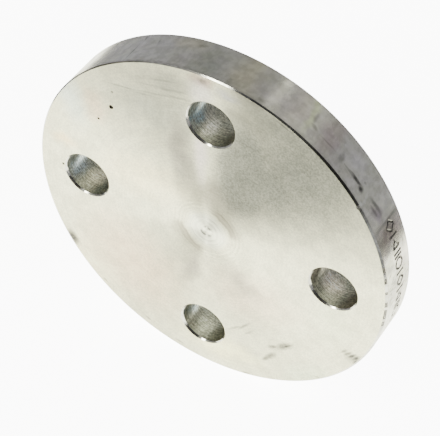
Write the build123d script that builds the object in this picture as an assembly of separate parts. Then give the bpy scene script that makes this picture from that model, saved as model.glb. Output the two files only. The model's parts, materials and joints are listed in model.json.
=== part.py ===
from build123d import *
import os

# Blind flange: one turned plate with four bolt holes, closing a DN 32 pipe end.
#
# Frame: the disc's axis is Y. The origin is the centre of the sealing face, which
# looks along +Y. The flat back face looks along -Y. +Z is up, and the bolt holes lie
# on the X and Z axes. All lengths are in millimetres.

# Plate
OUTER_DIAMETER = 140.0
RIM_THICKNESS = 17.0
EDGE_CHAMFER = 0.7

# Bolt holes
BOLT_CIRCLE_DIAMETER = 100.0
BOLT_HOLE_COUNT = 4
BOLT_HOLE_DIAMETER = 18.0
BOLT_HOLE_CHAMFER = 0.5

# Raised sealing face
RAISED_FACE_DIAMETER = 78.0
RAISED_FACE_HEIGHT = 2.0
RAISED_FACE_CHAMFER = 0.5

# Mark that the lathe leaves at the centre of the back face
CENTRE_MARK_RADIUS = 1.6
CENTRE_MARK_DEPTH = 0.6

OUTER_RADIUS = OUTER_DIAMETER / 2
RAISED_FACE_RADIUS = RAISED_FACE_DIAMETER / 2
SHOULDER_Y = -RAISED_FACE_HEIGHT
BACK_Y = SHOULDER_Y - RIM_THICKNESS


def plate_section():
    """Half section of the turned plate, drawn as (radius, y) and closed on the axis."""
    return [
        (0, 0),
        (RAISED_FACE_RADIUS - RAISED_FACE_CHAMFER, 0),
        (RAISED_FACE_RADIUS, -RAISED_FACE_CHAMFER),
        (RAISED_FACE_RADIUS, SHOULDER_Y),
        (OUTER_RADIUS - EDGE_CHAMFER, SHOULDER_Y),
        (OUTER_RADIUS, SHOULDER_Y - EDGE_CHAMFER),
        (OUTER_RADIUS, BACK_Y + EDGE_CHAMFER),
        (OUTER_RADIUS - EDGE_CHAMFER, BACK_Y),
        (CENTRE_MARK_RADIUS, BACK_Y),
        (0, BACK_Y + CENTRE_MARK_DEPTH),
    ]


def turned(section):
    """Solid made by turning a half section about the Y axis."""
    outline = Polyline(*section, close=True)
    return revolve(make_face(outline), axis=Axis.Y)


def bolt_hole():
    """Cutter for one bolt hole with a chamfer at each mouth, along +Y from the back face."""
    radius = BOLT_HOLE_DIAMETER / 2
    mouth = radius + BOLT_HOLE_CHAMFER
    section = [
        (0, BACK_Y),
        (mouth, BACK_Y),
        (radius, BACK_Y + BOLT_HOLE_CHAMFER),
        (radius, SHOULDER_Y - BOLT_HOLE_CHAMFER),
        (mouth, SHOULDER_Y),
        (0, SHOULDER_Y),
    ]
    return turned(section)


def flange():
    """The whole piece: the turned plate, less its bolt holes."""
    solid = turned(plate_section())
    for index in range(BOLT_HOLE_COUNT):
        turn = Rot(0, index * 360 / BOLT_HOLE_COUNT, 0)
        place = turn * Pos(BOLT_CIRCLE_DIAMETER / 2, 0, 0)
        solid -= place * bolt_hole()
    return solid


os.makedirs("parts", exist_ok=True)
export_step(flange(), "parts/flange_disc.step")
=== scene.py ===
# Looks of the blind flange: one turned steel plate, and the stage that it stands on.
#
# The mesh is in metres, in the CAD's frame. The tables of tints, marks, pits and nicks are in millimetres
# and degrees, and their angles go round the Y axis, from +X towards +Z.

import json
import math

import bmesh
import bpy
from mathutils import Matrix, Vector, noise


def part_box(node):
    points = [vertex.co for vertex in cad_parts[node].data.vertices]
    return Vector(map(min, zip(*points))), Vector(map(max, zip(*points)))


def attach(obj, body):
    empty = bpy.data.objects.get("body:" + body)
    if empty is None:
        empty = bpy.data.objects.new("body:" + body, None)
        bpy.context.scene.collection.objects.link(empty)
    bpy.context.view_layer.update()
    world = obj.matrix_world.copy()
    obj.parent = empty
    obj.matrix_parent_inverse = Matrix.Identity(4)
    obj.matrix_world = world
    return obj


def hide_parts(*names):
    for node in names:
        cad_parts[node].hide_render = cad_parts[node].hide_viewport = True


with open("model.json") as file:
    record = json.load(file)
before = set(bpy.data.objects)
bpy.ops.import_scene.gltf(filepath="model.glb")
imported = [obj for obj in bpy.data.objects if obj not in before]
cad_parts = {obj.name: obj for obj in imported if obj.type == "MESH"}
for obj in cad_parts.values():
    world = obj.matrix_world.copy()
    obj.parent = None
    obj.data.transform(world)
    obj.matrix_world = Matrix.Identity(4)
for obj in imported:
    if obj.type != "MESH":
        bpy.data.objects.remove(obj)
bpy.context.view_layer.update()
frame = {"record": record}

MM = 0.001

# The plate, from the frame. The axis is Y, and the flat back face looks along -Y.
LOW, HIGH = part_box("flange_disc")
OUTER_RADIUS = HIGH.x
BACK_Y = LOW.y
SEAL_Y = HIGH.y
BOLTS = next(m for m in frame["record"]["mounts"] if m["name"] == "bolt_circle")
BOLT_CIRCLE_RADIUS = BOLTS["dims"]["pcd_mm"] / 2 * MM
HOLE_RADIUS = BOLTS["dims"]["hole_r_mm"] * MM
HOLE_COUNT = BOLTS["dims"]["count"]
SHOULDER_Y = BOLTS["pos_m"][1]

# Chamfer of the rim's two edges. Round NARROW_ANGLE the back one loses a share of its width.
EDGE_CHAMFER = 0.7 * MM
NARROW_SHARE = 0.4
NARROW_ANGLE = 112
NARROW_SPREAD = 50
CHAMFER_REACH = 1.5 * EDGE_CHAMFER

# Chamfer of the bolt holes, which is wider between two angles round each hole
HOLE_CHAMFER = 0.45 * MM
HOLE_CHAMFER_EXTRA = 0.3 * MM
HOLE_CHAMFER_WIDE_FROM = 185
HOLE_CHAMFER_WIDE_TO = 258

# Raised sealing face, with the fine rings of a gramophone finish
SEAL_RADIUS = 39 * MM
SEAL_CHAMFER = 0.5 * MM
RING_PITCH = 0.8 * MM
RING_DEPTH = 0.05 * MM
RING_INNER_RADIUS = 2 * MM

# Marks that the lathe leaves round the centre of the back face: (radius, depth)
CENTRE_RINGS = [(12, 0), (11.9, 0.05), (11.8, 0), (6.4, 0), (6.3, 0.06), (6.1, 0), (4.6, 0)]
CENTRE_RINGS += [(4.4, 0.05), (4.2, 0), (2.7, 0), (2.3, 0.24), (1.8, 0.28), (1.3, 0.06), (0, 0.03)]

# Pits in the back face: (x, z, radius) in millimetres
PITS = [(-39, 38.5, 0.9), (-44.3, 30.6, 0.5), (-60.3, 0.4, 0.5), (-38.5, 45.6, 0.25)]

# Centre of each pit's ball, below the surface, as a share of its radius
PIT_SINK = 0.1

# Nicks in the back edge: (angle in degrees, radius in millimetres, length over width, surface)
NICKS = [
    (37.4, 0.8, 1, "rim"),
    (16.2, 0.35, 3, "stamp"),
    (11.8, 0.4, 3.5, "stamp"),
    (7.6, 0.3, 3, "stamp"),
    (3.2, 0.3, 4, "stamp"),
    (0.2, 0.35, 3.5, "stamp"),
    (-1.9, 0.45, 2.6, "stamp"),
    (-4.8, 0.3, 3, "stamp"),
]

# Unevenness of the balls that cut pits and nicks, and how many lumps it has across a radius
BLOB_UNEVENNESS = 0.25
BLOB_LUMPS = 1.3

# Stamped marks on the rim: plain shapes, each a number of corners (1 is a bar, 2 a pair of bars)
STAMPS = [4, 1, 3, 2, 8, 1, 4, 1, 3, 2, 8, 1]
STAMP_FIRST_ANGLE = 25.5
STAMP_SPACING = 3.2
STAMP_Y = 9.5 * MM
STAMP_RADIUS = 2.2 * MM
STROKE_WIDTH = 1.9 * MM
STROKE_DEPTH = 0.4 * MM
STROKE_GAP = 0.2 * MM

# Mesh
RIM_STEPS = 360
HOLE_STEPS = 144
CUTTER_OVERLAP = 1 * MM
SHARP_ANGLE = 20

# Which surface a polygon belongs to. Flatness is the share of its normal along Y.
FLAT_FACE = 0.99
PIT_FLATNESS = 0.98
NICK_FLATNESS = (0.02, 0.98)
CHAMFER_FLATNESS = 0.3
RIM_FACING = 0.95
NICK_REACH = 1.1
PIT_REACH = 1.5
SEAL_MARGIN = 0.5 * MM

# Noise mostly stays in this range, which is stretched to go from 0 to 1
NOISE_RANGE = (0.3, 0.7)

# A quarter of a turn, which lays the long axis of the highlights across the lathe's marks
ANISOTROPIC_TURN = 0.25

# Tints and marks: depth to which they reach, the wobble of their outlines, and their softness from 0 to 1
PATCH_DEPTH = 6
TINT_WOBBLE_SIZE = 9
TINT_WOBBLE = 9
TINT_SOFTNESS = 0.9
# Wobble of the painted highlight streak's outline
PAINTED_HIGHLIGHT_STREAK_WOBBLE = 3
EDGE_WOBBLE = 1
MARK_WOBBLE_SIZE = 2
MARK_WOBBLE = 0.5
MARK_SOFTNESS = 0.85

# Marks are thinner where this noise is low
MARK_GRAIN_SIZE = 0.8
MARK_WHOLE_FROM = 0.8
MARK_THINNEST = 0.8

# Finish of the turned face. Pairs are for clean steel and for the film.
FACE_BRUSHED = 0.9
FACE_RING_SIZE = 0.9
FACE_RING_CONTRAST = 0.03
FACE_CLOUD_SIZE = 6
FACE_CLOUD_CONTRAST = 0.07
FACE_GRAIN_SIZE = 0.55
FACE_SPECKLE = (0.11, 0.23)
FACE_ROUGHNESS = (0.42, 0.5)
FACE_RELIEF = 0.006
# Wobble of the film's outline; the film's dark colour is also painted shade
FILM_AND_SHADE_WOBBLE_SIZE = 9
FILM_AND_SHADE_WOBBLE = 4

# Finish of the rim
RIM_BRUSHED = 0.6
RIM_STREAK_STRETCH = (1, 0.15, 1)
RIM_STREAK_SIZE = 1.1
RIM_STREAK_CONTRAST = 0.03
RIM_CLOUD_SIZE = 8
RIM_MOTTLE_SIZE = 2.5
RIM_MOTTLE_CONTRAST = 0.1
RIM_ROUGHNESS = (0.18, 0.24)
RIM_RELIEF = 0.03
MAUVE_STRENGTH = 0.3
OLIVE_STRENGTH = 0.35
OLIVE_SIZE = 5
OLIVE_SHIFT = (30, 0, 0)
RIM_EDGE_FROM_MIDDLE = (6.6, 8.6)
RIM_EDGE_STRENGTH = (0.2, 0.6)
BATTERED_SOFTNESS = 0.6
DENT_STRETCH = (1, 0.5, 1)
DENT_SIZE = 0.9
DENT_DARKEST = 0.55

# Finish of the edge chamfers
CHAMFER_BRUSHED = 0.5
CHAMFER_MOTTLE_SIZE = 2
CHAMFER_MOTTLE_CONTRAST = 0.2
CHAMFER_ROUGHNESS = 0.16
FINE_RELIEF = 0.01

# Finish of the hole walls
WALL_BRUSHED = 0.7
WALL_RING_SIZE = 0.45
WALL_RING_CONTRAST = 0.25
WALL_RING_WOBBLE_SIZE = 6
WALL_RING_WOBBLE = 0.6
WALL_GRAIN_SIZE = 0.7
WALL_GRAIN_CONTRAST = 0.28
WALL_CLOUD_SIZE = 3
WALL_CLOUD_STRENGTH = 0.5
WALL_ROUGHNESS = 0.35
WALL_RELIEF = 0.015

# Length of a wall tint or painted patch of light along the hole, as a share of its radius
WALL_PATCH_HEIGHT = 1.6

# Finish inside the stamped marks and the pits
STAMP_MOTTLE_SIZE = 0.6
STAMP_MOTTLE_CONTRAST = 0.4
STAMP_ROUGHNESS = 0.35
PIT_MOTTLE_SIZE = 0.4
PIT_MOTTLE_CONTRAST = 0.5
PIT_ROUGHNESS = 0.7

# Colours of the steel
FACE_COLOUR = (0.75, 0.74, 0.57)
# Colour of the dull film, darkened further as painted shade over the upper right of the back face
FILM_AND_SHADE_COLOUR = (0.42, 0.425, 0.355)
RIM_COLOUR = (0.84, 0.83, 0.77)
CHAMFER_COLOUR = (0.6, 0.6, 0.56)
WALL_COLOUR = (0.42, 0.43, 0.375)
# Painted shade inside the stamped marks and the nicks
STAMP_SHADE_COLOUR = (0.17, 0.165, 0.15)
PIT_COLOUR = (0.06, 0.055, 0.045)
MARK_COLOUR = (0.09, 0.09, 0.08)
MAUVE_COLOUR = (0.5, 0.42, 0.46)
OLIVE_COLOUR = (0.66, 0.68, 0.5)
RIM_EDGE_COLOUR = (0.2, 0.19, 0.18)
WALL_CLOUD_COLOUR = (0.42, 0.4, 0.33)

# Faint tints on the back face, two of them painted shade: (x, z, half length, half width, turn, colour,
# strength)
FACE_TINTS_AND_SHADE = [
    (-22, 46, 30, 15, 12, (0.55, 0.56, 0.46), 0.85),
    (-17, 60, 16, 7, 14, (0.46, 0.46, 0.38), 0.8),
    (-57, 36, 9, 20, 20, (0.66, 0.75, 0.72), 0.7),
    (-59, 13, 8, 5, 0, (0.86, 0.7, 0.42), 0.7),
    (-46, 36, 8, 12, 0, (0.72, 0.6, 0.45), 0.8),
    (-48, -44, 24, 16, -45, (0.98, 0.94, 0.68), 0.9),
    (-30, -34, 36, 28, -40, (0.9, 0.76, 0.56), 1),
    (8, -58, 24, 10, 5, (0.95, 0.92, 0.6), 0.9),
    (18, -24, 28, 18, 10, (0.78, 0.67, 0.52), 0.8),
    (-26, 12, 28, 15, 10, (0.86, 0.8, 0.56), 0.9),
    (6, 20, 26, 12, 8, (0.33, 0.31, 0.25), 0.9),
    (-11, 32, 7, 23, 8, (0.42, 0.4, 0.34), 0.95),
    # Painted shade: the dark wedges of the turned face's highlight below the centre
    (-6, -22, 6, 13, -14, (0.48, 0.45, 0.38), 0.9),
    (15, -19, 9, 13, 25, (0.5, 0.46, 0.38), 0.8),
    (44, -52, 17, 10, 40, (0.66, 0.73, 0.55), 0.8),
    (52, -16, 13, 20, 0, (0.72, 0.75, 0.56), 0.8),
    (6, 66, 6, 3, 10, (0.5, 0.5, 0.58), 0.6),
    (22, 62, 24, 7, -20, (0.38, 0.38, 0.31), 0.9),
    (15, 70, 18, 7, -12, (0.3, 0.29, 0.24), 1),
    (14, 58, 13, 8, -10, (0.34, 0.33, 0.26), 0.9),
    (-3.6, 67.6, 7, 5, 0, (0.34, 0.23, 0.18), 1),
]

# Painted highlight: a pale streak below the top hole, along the turned face's radial highlight, laid over
# the film
PAINTED_HIGHLIGHT_STREAK = [
    (-3.2, 37, 21, 4, 90, (0.86, 0.79, 0.76), 0.85),
    (-4, 62, 9, 7, 90, (0.88, 0.84, 0.8), 0.8),
]

# Worn disc round the centre of the back face. Lengths in shares are of its radius.
DISC_RADIUS = 9.6
DISC_COLOUR = (0.9, 0.93, 0.83)
DISC_STRENGTH = 0.6
DISC_SOLID = 0.6
DISC_WOBBLE_SIZE = 4
DISC_WOBBLE = 3

# Depth in millimetres at which the paint of the worn disc ends, and to which it is whole
BACK_FADE = (3, 1)

# Brown shade outside the disc, in shares of the disc's radius
SHADE_COLOUR = (0.3, 0.27, 0.22)
SHADE_STRENGTH = 0.7
SHADE_START = (0.93, 1.03)
SHADE_REACH = 1.7
SHADE_SIDE = 0.3

# Fine arcs in and round the disc
ARC_SIZE = 0.8
ARC_STRENGTH = 0.2
ARC_SOLID = 0.8
ARC_REACH = 2

# Dull, grainy film and painted shade over the upper right of the back face, where +X is right and +Z is up:
# (x, z, half length, half width, turn), softness
FILM_AND_SHADE = [((34, 44, 50, 36, 40), 1), ((13, 35, 14.5, 28, 0), 0.5), ((24, 34, 24, 26, 30), 0.9)]

# Dark smudges and scratches on the back face: (x, z, half length, half width, turn, strength)
FACE_MARKS = [
    (-3.8, 67.4, 2.6, 1.8, 5, 0.6),
    (60.4, -30, 4.6, 3.4, 20, 0.6),
    (62.1, -31, 3.4, 1.8, 52, 0.9),
    (61.6, -29.4, 3.6, 1.3, 52, 1),
    (60.1, -29.2, 3.8, 1.2, 50, 1),
    (58.5, -28.9, 3.2, 1.1, 52, 0.9),
    (57, -28.4, 2.6, 0.9, 52, 0.7),
    (-57.4, -36.4, 5.4, 3.6, -57, 1),
    (33.5, -41.2, 5.8, 2.3, 43, 0.8),
    (34.8, -40.4, 4.4, 0.9, 47, 1),
    (29.2, -44.2, 3.4, 1.3, 30, 0.75),
    (28.6, -49.8, 5, 1.8, 52, 0.75),
    (26.8, -52.4, 3, 1.1, 50, 0.8),
    (17, -40.6, 6, 0.8, 52, 0.6),
    (13.4, -43.6, 5, 0.8, 44, 0.5),
    (19, -43, 4, 0.7, 50, 0.4),
    (-34.5, 50, 9, 0.5, 9, 0.45),
    (-21, 53.3, 10, 0.5, 14, 0.35),
    (-26, 50.8, 8, 0.5, 12, 0.3),
    (-15, 57.8, 9, 0.9, 14, 0.35),
    (-13, 55.6, 8, 0.7, 12, 0.35),
    (-18, 60.5, 8, 0.7, 16, 0.3),
    (-24, 56, 7, 0.5, 14, 0.25),
    (-38.5, 45.6, 0.9, 0.6, 0, 0.6),
    (-24, -62, 2.4, 0.6, -20, 0.6),
    (-43, -52, 2.2, 0.6, -40, 0.6),
    (-10, -66.5, 2.8, 0.6, -8, 0.6),
    (19, -66, 2.4, 0.7, 15, 0.6),
    (36, 60, 5, 0.6, -30, 0.7),
    (27, 63, 6, 0.5, -22, 0.6),
    (56, -43, 2.2, 0.8, 50, 0.5),
    (48, -49, 1.6, 0.6, 20, 0.5),
    (0.2, 2.2, 1.5, 0.4, 0, 0.45),
    (1.8, 0.9, 1.2, 0.4, -60, 0.5),
]

# Broad tints round the rim:
# (angle, y above the back face, half length, half height, tilt, colour, strength)
RIM_TINTS = [
    (116, 8, 22, 22, 0, (1, 1, 1), 1),
    (103, 14, 12, 5, 0, (1, 0.95, 0.78), 1),
    (94, 6, 8, 14, 8, (0.56, 0.6, 0.52), 0.9),
    (83, 9, 8, 20, 8, (1, 0.95, 0.68), 0.9),
    (67, 9, 8, 20, 0, (1, 0.93, 0.86), 1),
    (63, 10, 2.6, 14, 6, (0.92, 1, 0.66), 0.9),
    (56, 9, 6, 18, 0, (0.82, 0.7, 0.68), 0.9),
    (46, 11, 9, 8, -10, (1, 0.98, 1), 0.9),
    (38.2, 3, 1, 6, 0, (1, 1, 0.97), 1),
    (32, 6, 8, 4, 4, (0.36, 0.31, 0.36), 0.9),
    (24, 7, 7.5, 18, 0, (0.26, 0.215, 0.2), 1),
    (6, 8, 18, 16, 0, (0.26, 0.26, 0.24), 0.85),
    (15, 3, 5, 5, 0, (0.2, 0.2, 0.18), 0.8),
]

# Darker stretches on the chamfer of the back edge; the two over the upper right are painted dark reflection:
# (angle, y above the back face, half length, half height, tilt, colour, strength)
EDGE_DARKENING = [
    (79, 0, 14, 4, 0, (0.13, 0.13, 0.14), 1),
    (46, 0, 34, 4, 0, (0.19, 0.19, 0.17), 1),
    (128, 0, 34, 4, 0, (0.25, 0.22, 0.19), 0.8),
]

# Stretch of the rim that handling has battered:
# (angle, y above the back face, half length, half height, tilt)
BATTERED = (-2, 8, 28, 20, 0)

# Dark burnish marks on the rim:
# (angle, y above the back face, half length, half height, tilt, strength)
RIM_MARKS = [
    (119.2, 5.4, 0.5, 6, 0, 0.5),
    (119, 14.4, 0.6, 2.6, 15, 0.5),
    (113, 12, 0.7, 2.2, 10, 0.35),
    (99.5, 13, 2.8, 1.4, 20, 0.35),
    (86, 2.4, 1.6, 2.6, 0, 0.35),
    (76, 2, 2.4, 1.2, 0, 0.35),
    (62, 10, 1, 3.6, 5, 0.4),
    (60.8, 7, 2.6, 1.2, -20, 0.5),
    (55.5, 6.2, 5, 0.6, 0, 0.35),
    (50.2, 6.6, 1.8, 3, 8, 0.5),
    (46.5, 5.5, 4.4, 0.6, -4, 0.45),
    (43, 5.7, 4.4, 1, 4, 1),
    (40.5, 5, 2, 1.6, 0, 1),
    (44, 6.1, 4, 0.5, 2, 0.9),
    (40.5, 8.2, 1.2, 0.8, 0, 0.4),
    (33.5, 7.2, 5, 1.3, 8, 0.75),
    (33, 5.3, 3.4, 0.9, 4, 0.6),
    (27.6, 9, 1, 12, 0, 0.5),
    (12, 3, 0.8, 2, 30, 0.6),
    (3, 3.5, 0.9, 2.4, 30, 0.6),
    (18, 14, 1.6, 0.9, 0, 0.5),
]

# Pale tints deep in each hole's lower side are a painted highlight band; the darkest, at the mouths, are
# painted shade.
# Tints and painted light on the hole walls, for the right, top, left and bottom hole, from each hole's
# centre:
# (x, depth, z, radius, colour, strength)
WALL_TINTS_AND_LIGHT = [
    [
        (-9, 2, 0, 6, (0.11, 0.115, 0.09), 1),
        (-8.8, 6, 1.5, 4.5, (0.22, 0.2, 0.17), 1),
        (-8, 9, -3.5, 4, (0.4, 0.37, 0.33), 0.8),
        (-4, 9, -8, 4.6, (1, 0.92, 0.84), 1),
        (4, 8, -8, 3, (0.36, 0.32, 0.33), 0.7),
        (7, 2, -6, 8, (0.09, 0.08, 0.05), 1),
    ],
    [
        (-9, 2, 0, 6.5, (0.08, 0.11, 0.09), 1),
        (-8.8, 6, 1, 4, (0.24, 0.28, 0.26), 0.9),
        (-8.2, 6, -3.5, 5, (0.4, 0.52, 0.6), 0.95),
        (-4.5, 7, -8, 4.4, (1, 0.98, 0.94), 1),
        (7, 2, -6, 8.5, (0.1, 0.095, 0.065), 1),
    ],
    [
        (-9, 2, 0, 6, (0.07, 0.1, 0.08), 1),
        (-8.8, 5, 1, 3.5, (0.2, 0.24, 0.24), 0.8),
        (-7.8, 7, -4, 6, (0.6, 0.72, 0.84), 1),
        (-1, 8, -9, 5, (1, 0.95, 0.74), 0.9),
        (7, 2, -6, 8, (0.08, 0.095, 0.08), 1),
    ],
    [
        (-9, 2, 0, 5.5, (0.09, 0.1, 0.09), 1),
        (-8.5, 7, -2.5, 4, (0.46, 0.54, 0.6), 0.9),
        (-3, 8, -8.4, 5, (0.96, 1, 0.84), 1),
        (7, 2, -6, 8.5, (0.12, 0.12, 0.08), 1),
    ],
]

# Camera: where it stands, seen from the centre of the back face
AZIMUTH = 29.32
ELEVATION = 46.27
ROLL = 2.55
DISTANCE = 586.5 * MM
SHIFT_RIGHT = 4.67 * MM
SHIFT_UP = 4.36 * MM
LENS = 138.3
CLIP_START = 50 * MM

# Floor, and the cards that only reflections show
FLOOR_HALF_SIZE = 4.0
FLOOR_GREY = 0.8
FLOOR_GLOW = 10
TABLE_GLOW = 4.6
TABLE_X = (-0.235, 0.19)
TABLE_Y = (-0.13, 0.24)
CARD_GAP = 0.1 * MM
BLACK_CARD_PLACE = (0.45, -0.85, 0.42)
BLACK_CARD_SIZE = (1, 1)
BLACK_GLOW = 0.01
WHITE = (1, 1, 1)
WARM_WHITE = (1, 0.995, 0.81)
ROOM_STRENGTH = 0.34

# Soft lights: (name, place, size, power)
LIGHTS = [
    ("key", (-0.36, -0.8, 0.5), (0.18, 0.6), 8),
    ("rim_light", (0.115, 0.74, 0.91), (0.07, 0.3), 0.08),
    ("rim_fill", (0.45, 0.75, 0.89), (0.3, 0.4), 0.1),
]


# ---------------------------------------------------------------- mesh helpers


def new_object(name, bm):
    """Object made from a bmesh, which is freed."""
    mesh = bpy.data.meshes.new(name)
    bm.to_mesh(mesh)
    bm.free()
    obj = bpy.data.objects.new(name, mesh)
    bpy.context.scene.collection.objects.link(obj)
    return obj


def ring_of_vertices(bm, radius, y, steps, centre):
    """Vertices of one ring about a line along Y, or the single one on the line where radius is 0."""
    if radius == 0:
        return [bm.verts.new((centre[0], y, centre[1]))]
    ring = []
    for step in range(steps):
        angle = 2 * math.pi * step / steps
        x = centre[0] + radius * math.cos(angle)
        z = centre[1] + radius * math.sin(angle)
        ring.append(bm.verts.new((x, y, z)))
    return ring


def lathe(name, section, steps, centre=(0, 0)):
    """Closed mesh turned about a line along Y through (x, z) = centre. section is [(radius, y), ...]."""
    bm = bmesh.new()
    rings = [ring_of_vertices(bm, radius, y, steps, centre) for radius, y in section]
    for near, far in zip(rings, rings[1:]):
        for step in range(steps):
            after = (step + 1) % steps
            corners = [near[step % len(near)], near[after % len(near)]]
            corners += [far[after % len(far)], far[step % len(far)]]
            bm.faces.new(list(dict.fromkeys(corners)))
    bmesh.ops.recalc_face_normals(bm, faces=bm.faces)
    return new_object(name, bm)


def cut(target, cutter):
    """Takes cutter away from target, and deletes cutter."""
    modifier = target.modifiers.new("cut", "BOOLEAN")
    modifier.operation = "DIFFERENCE"
    modifier.solver = "EXACT"
    modifier.object = cutter
    apply_modifiers(target)
    bpy.data.objects.remove(cutter)


def apply_modifiers(obj):
    """Bakes the object's modifiers into its mesh."""
    graph = bpy.context.evaluated_depsgraph_get()
    mesh = bpy.data.meshes.new_from_object(obj.evaluated_get(graph))
    obj.modifiers.clear()
    obj.data = mesh


# ---------------------------------------------------------------- the plate


def plate_section():
    """Half section of the turned plate, from the sealing face round to the back face."""
    section = [(0, SEAL_Y)]
    radius = RING_INNER_RADIUS
    while radius < SEAL_RADIUS - SEAL_CHAMFER - RING_PITCH:
        section.append((radius, SEAL_Y))
        section.append((radius + RING_PITCH / 2, SEAL_Y - RING_DEPTH))
        radius += RING_PITCH
    section += [
        (SEAL_RADIUS - SEAL_CHAMFER, SEAL_Y),
        (SEAL_RADIUS, SEAL_Y - SEAL_CHAMFER),
        (SEAL_RADIUS, SHOULDER_Y),
        (OUTER_RADIUS - EDGE_CHAMFER, SHOULDER_Y),
        (OUTER_RADIUS, SHOULDER_Y - EDGE_CHAMFER),
        (OUTER_RADIUS, BACK_Y + EDGE_CHAMFER),
        (OUTER_RADIUS - EDGE_CHAMFER, BACK_Y),
    ]
    section += [(radius * MM, BACK_Y + depth * MM) for radius, depth in CENTRE_RINGS]
    return section


def narrow_top_edge(plate):
    """Makes the chamfer of the back edge narrower over the top, and moves no other vertex."""
    for vertex in plate.data.vertices:
        radius = math.hypot(vertex.co.x, vertex.co.z)
        if radius < OUTER_RADIUS - CHAMFER_REACH or vertex.co.y > BACK_Y + CHAMFER_REACH:
            continue
        away = math.degrees(math.atan2(vertex.co.z, vertex.co.x)) - NARROW_ANGLE
        share = NARROW_SHARE * math.exp(-((away / NARROW_SPREAD) ** 4))
        outwards = Vector((vertex.co.x, 0, vertex.co.z)) / radius
        vertex.co += outwards * (OUTER_RADIUS - radius) * share
        vertex.co.y -= (vertex.co.y - BACK_Y) * share


def hole_chamfer(angle):
    """Width of the chamfer at one angle round a hole: wider over one stretch."""
    degrees = math.degrees(angle)
    wide = HOLE_CHAMFER_WIDE_FROM < degrees < HOLE_CHAMFER_WIDE_TO
    return HOLE_CHAMFER + (HOLE_CHAMFER_EXTRA if wide else 0)


def hole_section():
    """Half section of a hole cutter: a cone outside each mouth, with the straight wall between them."""
    over = CUTTER_OVERLAP
    return [
        (0, BACK_Y - over),
        (HOLE_RADIUS + over, BACK_Y - over),
        (HOLE_RADIUS, BACK_Y),
        (HOLE_RADIUS, SHOULDER_Y),
        (HOLE_RADIUS + over, SHOULDER_Y + over),
        (0, SHOULDER_Y + over),
    ]


def hole_cutter(centre):
    """Cutter for one bolt hole: straight wall with an uneven chamfer at each mouth."""
    cutter = lathe("hole_cutter", hole_section(), HOLE_STEPS, centre)
    middle = (BACK_Y + SHOULDER_Y) / 2
    for vertex in cutter.data.vertices:
        out = Vector((vertex.co.x - centre[0], 0, vertex.co.z - centre[1]))
        if out.length < HOLE_RADIUS / 2:
            continue
        width = hole_chamfer(math.atan2(out.z, out.x) % (2 * math.pi))
        towards_middle = math.copysign(1, middle - vertex.co.y)
        vertex.co.y += towards_middle * width
    return cutter


def hole_centres():
    """(x, z) of each bolt hole."""
    angles = [2 * math.pi * index / HOLE_COUNT for index in range(HOLE_COUNT)]
    return [(BOLT_CIRCLE_RADIUS * math.cos(a), BOLT_CIRCLE_RADIUS * math.sin(a)) for a in angles]


def blob_cutter(place, radius, stretch=1, turn=0):
    """Small uneven ball that cuts a pit or a nick.

    stretch makes it longer along Z, before turn turns it about Y."""
    bm = bmesh.new()
    bmesh.ops.create_icosphere(bm, subdivisions=2, radius=radius)
    shape = Matrix.Rotation(-turn, 3, "Y") @ Matrix.Diagonal((1, 1, stretch))
    for vertex in bm.verts:
        lumps = noise.noise(vertex.co / radius * BLOB_LUMPS + Vector(place) / MM)
        vertex.co *= 1 + BLOB_UNEVENNESS * lumps
        vertex.co = shape @ vertex.co + Vector(place)
    return new_object("blob_cutter", bm)


def cut_pits(plate):
    """Pits in the back face, each a little deeper than half a ball."""
    for x, z, radius in PITS:
        place = (x * MM, BACK_Y + PIT_SINK * radius * MM, z * MM)
        cut(plate, blob_cutter(place, radius * MM))


def nick_place(degrees):
    """Middle of the chamfered back edge at one angle."""
    angle = math.radians(degrees)
    middle = OUTER_RADIUS - EDGE_CHAMFER / 2
    return Vector((middle * math.cos(angle), BACK_Y, middle * math.sin(angle)))


def cut_nicks(plate):
    """Dents along the edge of the back face."""
    for degrees, radius, stretch, _ in NICKS:
        cut(plate, blob_cutter(nick_place(degrees), radius * MM, stretch, math.radians(degrees)))


def stamp_strokes(corners):
    """Strokes of one stamped shape, as pairs of (u, v) ends, u round the rim and v along Y."""
    if corners <= 2:
        offsets = [0] if corners == 1 else [-STAMP_RADIUS / 3, STAMP_RADIUS / 3]
        return [((u, -STAMP_RADIUS), (u, STAMP_RADIUS)) for u in offsets]
    points = []
    for corner in range(corners):
        angle = 2 * math.pi * corner / corners
        points.append(Vector((STAMP_RADIUS * math.cos(angle), STAMP_RADIUS * math.sin(angle))))
    strokes = []
    for start, end in zip(points, points[1:] + points[:1]):
        gap = (end - start).normalized() * STROKE_GAP
        strokes.append((start + gap, end - gap))
    return strokes


def add_stroke(bm, frame_of_rim, start, end):
    """One V-shaped groove: a wedge whose ridge lies below the rim's surface."""
    start, end = Vector(start), Vector(end)
    along = (end - start).normalized()
    across = Vector((-along.y, along.x)) * STROKE_WIDTH / 2
    slope_run = along * STROKE_DEPTH
    near, far = start - slope_run, end + slope_run
    top = (near - across, far - across, far + across, near + across)
    corners = [frame_of_rim @ Vector((p.x, p.y, STROKE_DEPTH)) for p in top]
    ridge = [frame_of_rim @ Vector((p.x, p.y, -STROKE_DEPTH)) for p in (start, end)]
    a, b, c, d = [bm.verts.new(p) for p in corners]
    e, f = [bm.verts.new(p) for p in ridge]
    for face in ((a, b, c, d), (b, a, e, f), (d, c, f, e), (a, d, e), (c, b, f)):
        bm.faces.new(face)


def frame_on_rim(angle):
    """Matrix of a small frame on the rim: its X runs round the rim, its Y along Y, its Z outwards."""
    out = Vector((math.cos(angle), 0, math.sin(angle)))
    round_rim = Vector((-math.sin(angle), 0, math.cos(angle)))
    turn = Matrix((round_rim, Vector((0, 1, 0)), out)).transposed()
    return Matrix.LocRotScale(out * OUTER_RADIUS + Vector((0, BACK_Y + STAMP_Y, 0)), turn, None)


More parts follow.
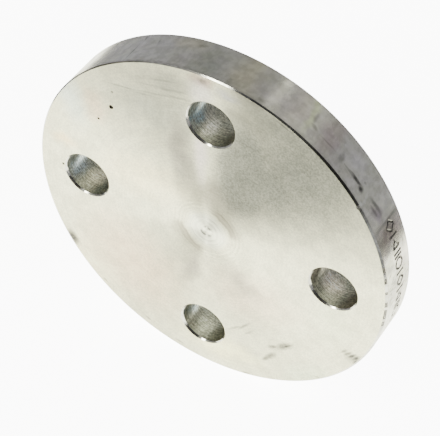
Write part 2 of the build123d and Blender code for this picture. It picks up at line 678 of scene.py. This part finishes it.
def cut_stamps(plate):
    """Row of stamped shapes on the rim. They are plain shapes, not letters.

    Each pass cuts one stroke of every shape, so that no two strokes of a pass cross."""
    for stroke in range(max(STAMPS)):
        bm = bmesh.new()
        for index, corners in enumerate(STAMPS):
            if stroke < corners:
                angle = math.radians(STAMP_FIRST_ANGLE - index * STAMP_SPACING)
                add_stroke(bm, frame_on_rim(angle), *stamp_strokes(corners)[stroke])
        bmesh.ops.recalc_face_normals(bm, faces=bm.faces)
        cut(plate, new_object("stamp_cutter", bm))


def build_plate():
    """The whole plate as one closed mesh."""
    plate = lathe("flange_plate", plate_section(), RIM_STEPS)
    narrow_top_edge(plate)
    for centre in hole_centres():
        cut(plate, hole_cutter(centre))
    cut_pits(plate)
    cut_nicks(plate)
    cut_stamps(plate)
    plate.data.shade_smooth()
    plate.data.set_sharp_from_angle(angle=math.radians(SHARP_ANGLE))
    return plate


# ---------------------------------------------------------------- materials


class Nodes:
    """Short calls for building one material's node tree. Lengths in the tree are millimetres."""

    def __init__(self, name):
        self.material = bpy.data.materials.new(name)
        self.material.use_nodes = True
        self.tree = self.material.node_tree
        self.shader = self.tree.nodes["Principled BSDF"]

    def link(self, value, socket):
        """Puts a plain value, a colour or another node's output into a socket."""
        if isinstance(value, bpy.types.NodeSocket):
            self.tree.links.new(value, socket)
        elif socket.type == "RGBA":
            socket.default_value = (*value, 1)
        else:
            socket.default_value = value

    def add(self, kind, **inputs):
        """Node with its inputs set by name."""
        node = self.tree.nodes.new(kind)
        for key, value in inputs.items():
            self.link(value, node.inputs[key.replace("_", " ")])
        return node

    def math(self, operation, *values):
        """Result of a Math node."""
        node = self.add("ShaderNodeMath")
        node.operation = operation
        for value, socket in zip(values, node.inputs):
            self.link(value, socket)
        return node.outputs[0]

    def vector(self, operation, *values, scale=1):
        """Result of a Vector Math node."""
        node = self.add("ShaderNodeVectorMath")
        node.operation = operation
        if operation == "SCALE":
            self.link(scale, node.inputs["Scale"])
        for value, socket in zip(values, node.inputs):
            self.link(value, socket)
        return node.outputs["Value" if operation == "LENGTH" else "Vector"]

    def ramp(self, value, low, high, to_low=0, to_high=1):
        """Smooth change from to_low to to_high as value goes from low to high."""
        node = self.add("ShaderNodeMapRange", Value=value, From_Min=low, From_Max=high)
        node.interpolation_type = "SMOOTHSTEP"
        self.link(to_low, node.inputs["To Min"])
        self.link(to_high, node.inputs["To Max"])
        return node.outputs["Result"]

    def mix(self, amount, first, second):
        """Colour between first and second."""
        node = self.add("ShaderNodeMix")
        node.data_type = "RGBA"
        sockets = (node.inputs[0], node.inputs[6], node.inputs[7])
        for value, socket in zip((amount, first, second), sockets):
            self.link(value, socket)
        return node.outputs[2]

    def split(self, vector):
        """The x, y and z of a vector."""
        return self.add("ShaderNodeSeparateXYZ", Vector=vector).outputs

    def vary(self, value, amount):
        """Brightness from 1 - amount to 1 + amount, as value goes from 0 to 1."""
        return self.ramp(value, 0, 1, 1 - amount, 1 + amount)

    def scaled(self, colour, brightness):
        """colour made lighter or darker."""
        return self.vector("SCALE", colour, scale=brightness)

    def noise(self, place, size, detail=2):
        """Noise from 0 to 1, in blobs about size across."""
        node = self.add("ShaderNodeTexNoise", Vector=place, Scale=1 / size, Detail=detail)
        return self.ramp(node.outputs["Fac"], *NOISE_RANGE)

    def stripes(self, distance, size):
        """Noise from 0 to 1 that changes along one distance only."""
        node = self.tree.nodes.new("ShaderNodeTexNoise")
        node.noise_dimensions = "1D"
        self.link(distance, node.inputs["W"])
        self.link(1 / size, node.inputs["Scale"])
        return self.ramp(node.outputs["Fac"], *NOISE_RANGE)


class Metal(Nodes):
    """Bare steel with fine marks that run round the Y axis. brushed is from 0 to 1."""

    def __init__(self, name, brushed):
        super().__init__(name)
        position = self.add("ShaderNodeTexCoord").outputs["Object"]
        self.place = self.vector("SCALE", position, scale=1 / MM)
        tangent = self.add("ShaderNodeTangent")
        tangent.direction_type = "RADIAL"
        tangent.axis = "Y"
        self.link(tangent.outputs[0], self.shader.inputs["Tangent"])
        self.shader.inputs["Metallic"].default_value = 1
        self.shader.inputs["Anisotropic"].default_value = brushed
        self.shader.inputs["Anisotropic Rotation"].default_value = ANISOTROPIC_TURN

    def ragged(self, size, amount):
        """Positions pushed about by noise, for patches with uneven outlines."""
        wobble = self.add("ShaderNodeTexNoise", Vector=self.place, Scale=1 / size, Detail=3)
        push = self.vector("SUBTRACT", wobble.outputs["Color"], (0.5, 0.5, 0.5))
        return self.vector("ADD", self.place, self.vector("SCALE", push, scale=amount))

    def from_axis(self, place):
        """Distance of a position from the Y axis."""
        return self.vector("LENGTH", self.vector("MULTIPLY", place, (1, 0, 1)))

    def patch(self, place, shape, softness=TINT_SOFTNESS):
        """Mask that is 1 inside a small ellipsoid and fades out towards its surface."""
        location, turn, size = shape
        node = self.add("ShaderNodeMapping", Vector=place)
        node.vector_type = "TEXTURE"
        self.link(location, node.inputs["Location"])
        self.link(turn, node.inputs["Rotation"])
        self.link(size, node.inputs["Scale"])
        distance = self.vector("LENGTH", node.outputs["Vector"])
        return self.ramp(distance, 1, 1 - softness)

    def tinted(self, colour, tints, shape_on, wobble=TINT_WOBBLE):
        """colour with the broad tints of one list laid over it."""
        place = self.ragged(TINT_WOBBLE_SIZE, wobble)
        for *shape, tint, strength in tints:
            amount = self.math("MULTIPLY", self.patch(place, shape_on(*shape)), strength)
            colour = self.mix(amount, colour, tint)
        return colour

    def dirtied(self, colour, marks, shape_on):
        """colour with the small dark marks of one list laid over it."""
        place = self.ragged(MARK_WOBBLE_SIZE, MARK_WOBBLE)
        cover = 0
        for *shape, strength in marks:
            patch = self.patch(place, shape_on(*shape), MARK_SOFTNESS)
            cover = self.math("MAXIMUM", cover, self.math("MULTIPLY", patch, strength))
        grain = self.noise(self.place, MARK_GRAIN_SIZE)
        thickness = self.ramp(grain, 0, MARK_WHOLE_FROM, MARK_THINNEST, 1)
        return self.mix(self.math("MULTIPLY", cover, thickness), colour, MARK_COLOUR)

    def finish(self, colour, roughness, height=0, depth=FINE_RELIEF):
        """Joins the colour, the roughness and the bumps, which are depth millimetres deep, to the shader."""
        bump = self.add("ShaderNodeBump", Height=height, Distance=depth * MM)
        self.link(bump.outputs["Normal"], self.shader.inputs["Normal"])
        self.link(colour, self.shader.inputs["Base Color"])
        self.link(roughness, self.shader.inputs["Roughness"])
        return self.material


def on_face(x, z, length, width, turn):
    """Place, turn and size of a flat ellipsoid on the back face."""
    return (x, BACK_Y / MM, z), (0, -math.radians(turn), 0), (length, PATCH_DEPTH, width)


def on_rim(angle, y, length, height, tilt):
    """Place, turn and size of a flat ellipsoid on the rim."""
    around = math.radians(angle)
    radius = OUTER_RADIUS / MM
    place = (radius * math.cos(around), BACK_Y / MM + y, radius * math.sin(around))
    return place, (math.radians(tilt), -around, 0), (PATCH_DEPTH, height, length)


def in_hole(x, depth, z, radius):
    """Place, turn and size of an ellipsoid on the wall of a bolt hole, longer along the hole."""
    return (x, BACK_Y / MM + depth, z), (0, 0, 0), (radius, WALL_PATCH_HEIGHT * radius, radius)


def near_back(n):
    """Mask that is 1 at the back face and 0 from a few millimetres into the plate."""
    _, y, _ = n.split(n.place)
    fade_out, fade_in = BACK_FADE
    return n.ramp(y, BACK_Y / MM + fade_out, BACK_Y / MM + fade_in)


def pale_disc(n, colour, radius, on_back):
    """colour with the pale worn disc laid over it."""
    inside = n.ramp(radius, DISC_RADIUS, DISC_SOLID * DISC_RADIUS, 0, DISC_STRENGTH)
    return n.mix(n.math("MULTIPLY", inside, on_back), colour, DISC_COLOUR)


def brown_shade(n, colour, radius, on_back):
    """colour, browner just outside the disc in the two quarters where x and z have the same sign."""
    x, _, z = n.split(n.place)
    square = n.math("MULTIPLY", radius, radius)
    quarters = n.ramp(n.math("DIVIDE", n.math("MULTIPLY", x, z), square), 0, SHADE_SIDE)
    start, full = SHADE_START
    outside = n.ramp(radius, start * DISC_RADIUS, full * DISC_RADIUS)
    fading = n.ramp(radius, SHADE_REACH * DISC_RADIUS, DISC_RADIUS, 0, SHADE_STRENGTH)
    fading = n.math("MULTIPLY", fading, on_back)
    shade = n.math("MULTIPLY", n.math("MULTIPLY", quarters, outside), fading)
    return n.mix(shade, colour, SHADE_COLOUR)


def fine_arcs(n, colour, radius, on_back):
    """colour, lighter and darker in fine arcs in and round the disc."""
    arcs = n.math("SUBTRACT", n.stripes(radius, ARC_SIZE), 0.5)
    near = n.ramp(radius, ARC_REACH * DISC_RADIUS, ARC_SOLID * DISC_RADIUS, 0, ARC_STRENGTH)
    near = n.math("MULTIPLY", near, on_back)
    return n.scaled(colour, n.math("MULTIPLY_ADD", arcs, near, 1))


def worn_disc(n, colour):
    """colour with the worn disc round the centre of the back face: pale, shaded outside, with fine arcs."""
    on_back = near_back(n)
    radius = n.from_axis(n.ragged(DISC_WOBBLE_SIZE, DISC_WOBBLE))
    colour = pale_disc(n, colour, radius, on_back)
    colour = brown_shade(n, colour, radius, on_back)
    return fine_arcs(n, colour, radius, on_back)


def film_and_shade_mask(n):
    """Mask that is 1 in the dull film and its painted shade."""
    place = n.ragged(FILM_AND_SHADE_WOBBLE_SIZE, FILM_AND_SHADE_WOBBLE)
    film_and_shade = 0
    for shape, softness in FILM_AND_SHADE:
        film_and_shade = n.math("MAXIMUM", film_and_shade, n.patch(place, on_face(*shape), softness))
    return film_and_shade


def face_brightness(n, rings, grain, film_and_shade):
    """Small changes of brightness: rings, clouds, and a speckle that is stronger in the film."""
    clouds = n.noise(n.place, FACE_CLOUD_SIZE, detail=5)
    mottle = n.math("MULTIPLY", n.vary(rings, FACE_RING_CONTRAST), n.vary(clouds, FACE_CLOUD_CONTRAST))
    contrast = n.math("MULTIPLY", n.ramp(film_and_shade, 0, 1, *FACE_SPECKLE), 2)
    speckle = n.math("MULTIPLY_ADD", n.math("SUBTRACT", grain, 0.5), contrast, 1)
    return n.math("MULTIPLY", mottle, speckle)


def turned_face():
    """Flat faces: lathe rings, tints, a grainy film darkened as painted shade, a painted highlight streak,
    smudges, scratches.
    """
    n = Metal("turned_face", FACE_BRUSHED)
    rings = n.stripes(n.from_axis(n.place), FACE_RING_SIZE)
    grain = n.noise(n.place, FACE_GRAIN_SIZE)
    film_and_shade = film_and_shade_mask(n)
    # Tints, two of them painted shade below the centre
    colour = n.tinted(FACE_COLOUR, FACE_TINTS_AND_SHADE, on_face)
    # Dull film, whose dark colour is also painted shade over the upper right
    colour = n.mix(film_and_shade, colour, FILM_AND_SHADE_COLOUR)
    # Painted highlight: the pale radial streak below the top hole
    colour = n.tinted(colour, PAINTED_HIGHLIGHT_STREAK, on_face, PAINTED_HIGHLIGHT_STREAK_WOBBLE)
    colour = n.scaled(colour, face_brightness(n, rings, grain, film_and_shade))
    colour = n.dirtied(worn_disc(n, colour), FACE_MARKS, on_face)
    roughness = n.ramp(film_and_shade, 0, 1, *FACE_ROUGHNESS)
    relief = n.math("ADD", rings, n.math("MULTIPLY", grain, film_and_shade))
    return n.finish(colour, roughness, relief, FACE_RELIEF)


def rim_skin(n, clouds):
    """Colour of the rim's skin: its tints, with mauve and olive clouds."""
    colour = n.tinted(RIM_COLOUR, RIM_TINTS, on_rim)
    colour = n.mix(n.math("MULTIPLY", clouds, MAUVE_STRENGTH), colour, MAUVE_COLOUR)
    olive = n.noise(n.vector("ADD", n.place, OLIVE_SHIFT), OLIVE_SIZE, detail=6)
    return n.mix(n.math("MULTIPLY", olive, OLIVE_STRENGTH), colour, OLIVE_COLOUR)


def darker_edges(n, colour, streaks):
    """colour, darker in streaks towards the rim's two edges."""
    _, y, _ = n.split(n.place)
    from_middle = n.math("ABSOLUTE", n.math("SUBTRACT", y, (BACK_Y + SHOULDER_Y) / 2 / MM))
    near_edge = n.ramp(from_middle, *RIM_EDGE_FROM_MIDDLE)
    near_edge = n.math("MULTIPLY", near_edge, n.ramp(streaks, 0, 1, *RIM_EDGE_STRENGTH))
    return n.mix(near_edge, colour, RIM_EDGE_COLOUR)


def rim_dents(n):
    """Small dents in the battered stretch of the rim, from 0 to 1."""
    battered = n.patch(n.place, on_rim(*BATTERED), BATTERED_SOFTNESS)
    dents = n.noise(n.vector("MULTIPLY", n.place, DENT_STRETCH), DENT_SIZE, detail=3)
    return n.math("MULTIPLY", battered, dents)


def rolled_rim():
    """Rim: soft tints like those of a hot-rolled skin, faint streaks along Y, dents and burnish marks."""
    n = Metal("rim", RIM_BRUSHED)
    streaks = n.noise(n.vector("MULTIPLY", n.place, RIM_STREAK_STRETCH), RIM_STREAK_SIZE)
    clouds = n.noise(n.place, RIM_CLOUD_SIZE, detail=6)
    blotches = n.noise(n.place, RIM_MOTTLE_SIZE, detail=5)
    dents = rim_dents(n)
    colour = darker_edges(n, rim_skin(n, clouds), streaks)
    mottle = n.math("MULTIPLY", n.vary(streaks, RIM_STREAK_CONTRAST), n.vary(blotches, RIM_MOTTLE_CONTRAST))
    colour = n.scaled(colour, n.math("MULTIPLY", mottle, n.ramp(dents, 0, 1, 1, DENT_DARKEST)))
    colour = n.dirtied(colour, RIM_MARKS, on_rim)
    roughness = n.ramp(clouds, 0, 1, *RIM_ROUGHNESS)
    return n.finish(colour, roughness, n.math("SUBTRACT", clouds, dents), RIM_RELIEF)


def chamfered_edge():
    """Edge chamfers: smooth steel, a little mottled, darker on three stretches of the back one, two of them
    painted dark reflection.
    """
    n = Metal("edge_chamfer", CHAMFER_BRUSHED)
    mottle = n.noise(n.place, CHAMFER_MOTTLE_SIZE)
    # Darker stretches of the back chamfer, two of them painted dark reflection
    colour = n.tinted(CHAMFER_COLOUR, EDGE_DARKENING, on_rim, EDGE_WOBBLE)
    colour = n.scaled(colour, n.vary(mottle, CHAMFER_MOTTLE_CONTRAST))
    return n.finish(colour, CHAMFER_ROUGHNESS, mottle)


def wall_tints_and_light():
    """Every tint and painted patch of light on the hole walls, moved from its hole's centre to its place on
    the plate.
    """
    tints_and_light = []
    for (centre_x, centre_z), hole_tints_and_light in zip(hole_centres(), WALL_TINTS_AND_LIGHT):
        for x, depth, z, *rest in hole_tints_and_light:
            tints_and_light.append((centre_x / MM + x, depth, centre_z / MM + z, *rest))
    return tints_and_light


def drilled_wall():
    """Walls of the bolt holes: drill rings, tints, a painted highlight band and painted shade at the mouths.
    The fine marks run round each hole.
    """
    n = Metal("drilled_wall", WALL_BRUSHED)
    normal = n.add("ShaderNodeNewGeometry").outputs["Normal"]
    n.link(n.vector("CROSS_PRODUCT", normal, (0, 1, 0)), n.shader.inputs["Tangent"])
    _, y, _ = n.split(n.ragged(WALL_RING_WOBBLE_SIZE, WALL_RING_WOBBLE))
    rings = n.stripes(y, WALL_RING_SIZE)
    grain = n.noise(n.place, WALL_GRAIN_SIZE, detail=4)
    clouds = n.math("MULTIPLY", n.noise(n.place, WALL_CLOUD_SIZE, detail=4), WALL_CLOUD_STRENGTH)
    # Tints, with a painted highlight band and painted shade at the mouths
    colour = n.tinted(WALL_COLOUR, wall_tints_and_light(), in_hole)
    colour = n.mix(clouds, colour, WALL_CLOUD_COLOUR)
    brightness = n.math("MULTIPLY", n.vary(rings, WALL_RING_CONTRAST), n.vary(grain, WALL_GRAIN_CONTRAST))
    return n.finish(n.scaled(colour, brightness), WALL_ROUGHNESS, rings, WALL_RELIEF)


def stamped():
    """Inside of the stamped marks and the nicks that share it: dark and mottled, as painted shade of their
    grooves.
    """
    n = Metal("stamped", 0)
    mottle = n.vary(n.noise(n.place, STAMP_MOTTLE_SIZE), STAMP_MOTTLE_CONTRAST)
    # Painted shade of the grooves, mottled
    return n.finish(n.scaled(STAMP_SHADE_COLOUR, mottle), STAMP_ROUGHNESS)


def pitted():
    """Inside of a pit: dark and rough."""
    n = Metal("pit", 0)
    mottle = n.vary(n.noise(n.place, PIT_MOTTLE_SIZE), PIT_MOTTLE_CONTRAST)
    return n.finish(n.scaled(PIT_COLOUR, mottle), PIT_ROUGHNESS)


def nick_surface(centre, flatness):
    """Surface of the nick that a polygon lies in, or None."""
    low, high = NICK_FLATNESS
    for degrees, size, stretch, surface in NICKS:
        reach = NICK_REACH * size * stretch * MM
        if (centre - nick_place(degrees)).length < reach and low < flatness < high:
            return surface
    return None


def in_pit(centre, flatness):
    """Whether a polygon lies in a pit."""
    for x, z, size in PITS:
        away = centre - Vector((x * MM, BACK_Y, z * MM))
        if flatness < PIT_FLATNESS and away.length < PIT_REACH * size * MM:
            return True
    return False


def surface_of(polygon):
    """Name in SURFACES of the surface that a polygon of the plate belongs to."""
    x, y, z = polygon.center
    radius = math.hypot(x, z)
    flatness = abs(polygon.normal.y)
    nick = nick_surface(polygon.center, flatness)
    if nick:
        return nick
    if radius > OUTER_RADIUS - EDGE_CHAMFER:
        if not BACK_Y + EDGE_CHAMFER < y < SHOULDER_Y - EDGE_CHAMFER:
            return "edge"
        facing = (polygon.normal.x * x + polygon.normal.z * z) / radius
        return "rim" if facing > RIM_FACING else "stamp"
    if in_pit(polygon.center, flatness):
        return "pit"
    if flatness > FLAT_FACE or radius < SEAL_RADIUS + SEAL_MARGIN:
        return "face"
    return "edge" if flatness > CHAMFER_FLATNESS else "hole_wall"


def paint(plate):
    """Gives each surface of the plate its material."""
    plate.data.materials.clear()
    order = []
    for name, material in SURFACES.items():
        plate.data.materials.append(material)
        order.append(name)
    for polygon in plate.data.polygons:
        polygon.material_index = order.index(surface_of(polygon))


# ---------------------------------------------------------------- stage


def add_camera():
    """Camera at the photograph's viewing angle."""
    azimuth, elevation = math.radians(AZIMUTH), math.radians(ELEVATION)
    flat = math.cos(elevation)
    back = Vector((math.sin(azimuth) * flat, -math.cos(azimuth) * flat, math.sin(elevation)))
    level = Vector((math.cos(azimuth), math.sin(azimuth), 0))
    right = Matrix.Rotation(math.radians(ROLL), 3, back) @ level
    up = back.cross(right)
    place = Vector((0, BACK_Y, 0)) + back * DISTANCE + right * SHIFT_RIGHT + up * SHIFT_UP
    data = bpy.data.cameras.new("camera")
    data.lens = LENS
    data.clip_start = CLIP_START
    camera = bpy.data.objects.new("camera", data)
    turn = Matrix((right, up, back)).transposed()
    camera.matrix_world = Matrix.LocRotScale(place, turn, None)
    bpy.context.scene.collection.objects.link(camera)
    bpy.context.scene.camera = camera


def glowing(name, base, glow, colour=WHITE):
    """Matt stage material of one grey, which also glows."""
    n = Nodes(name)
    n.link((base, base, base), n.shader.inputs["Base Color"])
    n.link(colour, n.shader.inputs["Emission Color"])
    n.link(glow, n.shader.inputs["Emission Strength"])
    return n.material


def add_floor():
    """Plain pale floor under the rim. It glows, as a light table does, so that shadows stay faint."""
    bm = bmesh.new()
    bmesh.ops.create_grid(bm, x_segments=1, y_segments=1, size=FLOOR_HALF_SIZE)
    floor = new_object("floor", bm)
    floor.location.z = -OUTER_RADIUS
    floor.data.materials.append(glowing("floor", FLOOR_GREY, FLOOR_GLOW))


def add_card(name, place, size, material):
    """Flat card that only reflections show. It faces up, or towards the flange if its z is above 0.

    The grid is a square of one metre, which the scale makes the card's size."""
    bm = bmesh.new()
    bmesh.ops.create_grid(bm, x_segments=1, y_segments=1, size=0.5)
    card = new_object(name, bm)
    card.location = place
    card.scale = (*size, 1)
    if place[2] > 0:
        card.rotation_euler = (-Vector(place)).to_track_quat("Z", "Y").to_euler()
    card.data.materials.append(material)
    card.visible_camera = False
    card.visible_diffuse = False
    card.visible_shadow = False


def add_cards():
    """What the steel reflects: a small white table top in a wide grey room, and a black flag."""
    table_middle = (sum(TABLE_X) / 2, sum(TABLE_Y) / 2, 2 * CARD_GAP - OUTER_RADIUS)
    table_size = (TABLE_X[1] - TABLE_X[0], TABLE_Y[1] - TABLE_Y[0])
    wide = (2 * FLOOR_HALF_SIZE, 2 * FLOOR_HALF_SIZE)
    grey = glowing("grey_card", 0, ROOM_STRENGTH)
    white = glowing("white_card", 0, TABLE_GLOW, WARM_WHITE)
    black = glowing("black_card", 0, BLACK_GLOW)
    add_card("grey_card", (0, 0, CARD_GAP - OUTER_RADIUS), wide, grey)
    add_card("white_card", table_middle, table_size, white)
    add_card("black_card", BLACK_CARD_PLACE, BLACK_CARD_SIZE, black)


def add_softbox(name, place, size, power):
    """Large soft area light aimed at the flange."""
    data = bpy.data.lights.new(name, "AREA")
    data.shape = "RECTANGLE"
    data.size, data.size_y = size
    data.energy = power
    data.color = WARM_WHITE
    light = bpy.data.objects.new(name, data)
    light.location = place
    light.rotation_euler = (-Vector(place)).to_track_quat("-Z", "Y").to_euler()
    bpy.context.scene.collection.objects.link(light)


def add_lights():
    """A strip light for the streak across the turned face, and two faint lights for the rim."""
    for name, place, size, power in LIGHTS:
        add_softbox(name, place, size, power)


def add_room():
    """Even grey room."""
    world = bpy.data.worlds.new("studio")
    world.use_nodes = True
    background = world.node_tree.nodes["Background"]
    background.inputs["Color"].default_value = (*WHITE, 1)
    background.inputs["Strength"].default_value = ROOM_STRENGTH
    bpy.context.scene.world = world


# ---------------------------------------------------------------- assembly

plate = build_plate()
SURFACES = {
    "face": turned_face(),
    "rim": rolled_rim(),
    "edge": chamfered_edge(),
    "hole_wall": drilled_wall(),
    "stamp": stamped(),
    "pit": pitted(),
}
paint(plate)
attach(plate, "root")
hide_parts("flange_disc")

add_floor()
add_cards()
add_lights()
add_room()
add_camera()
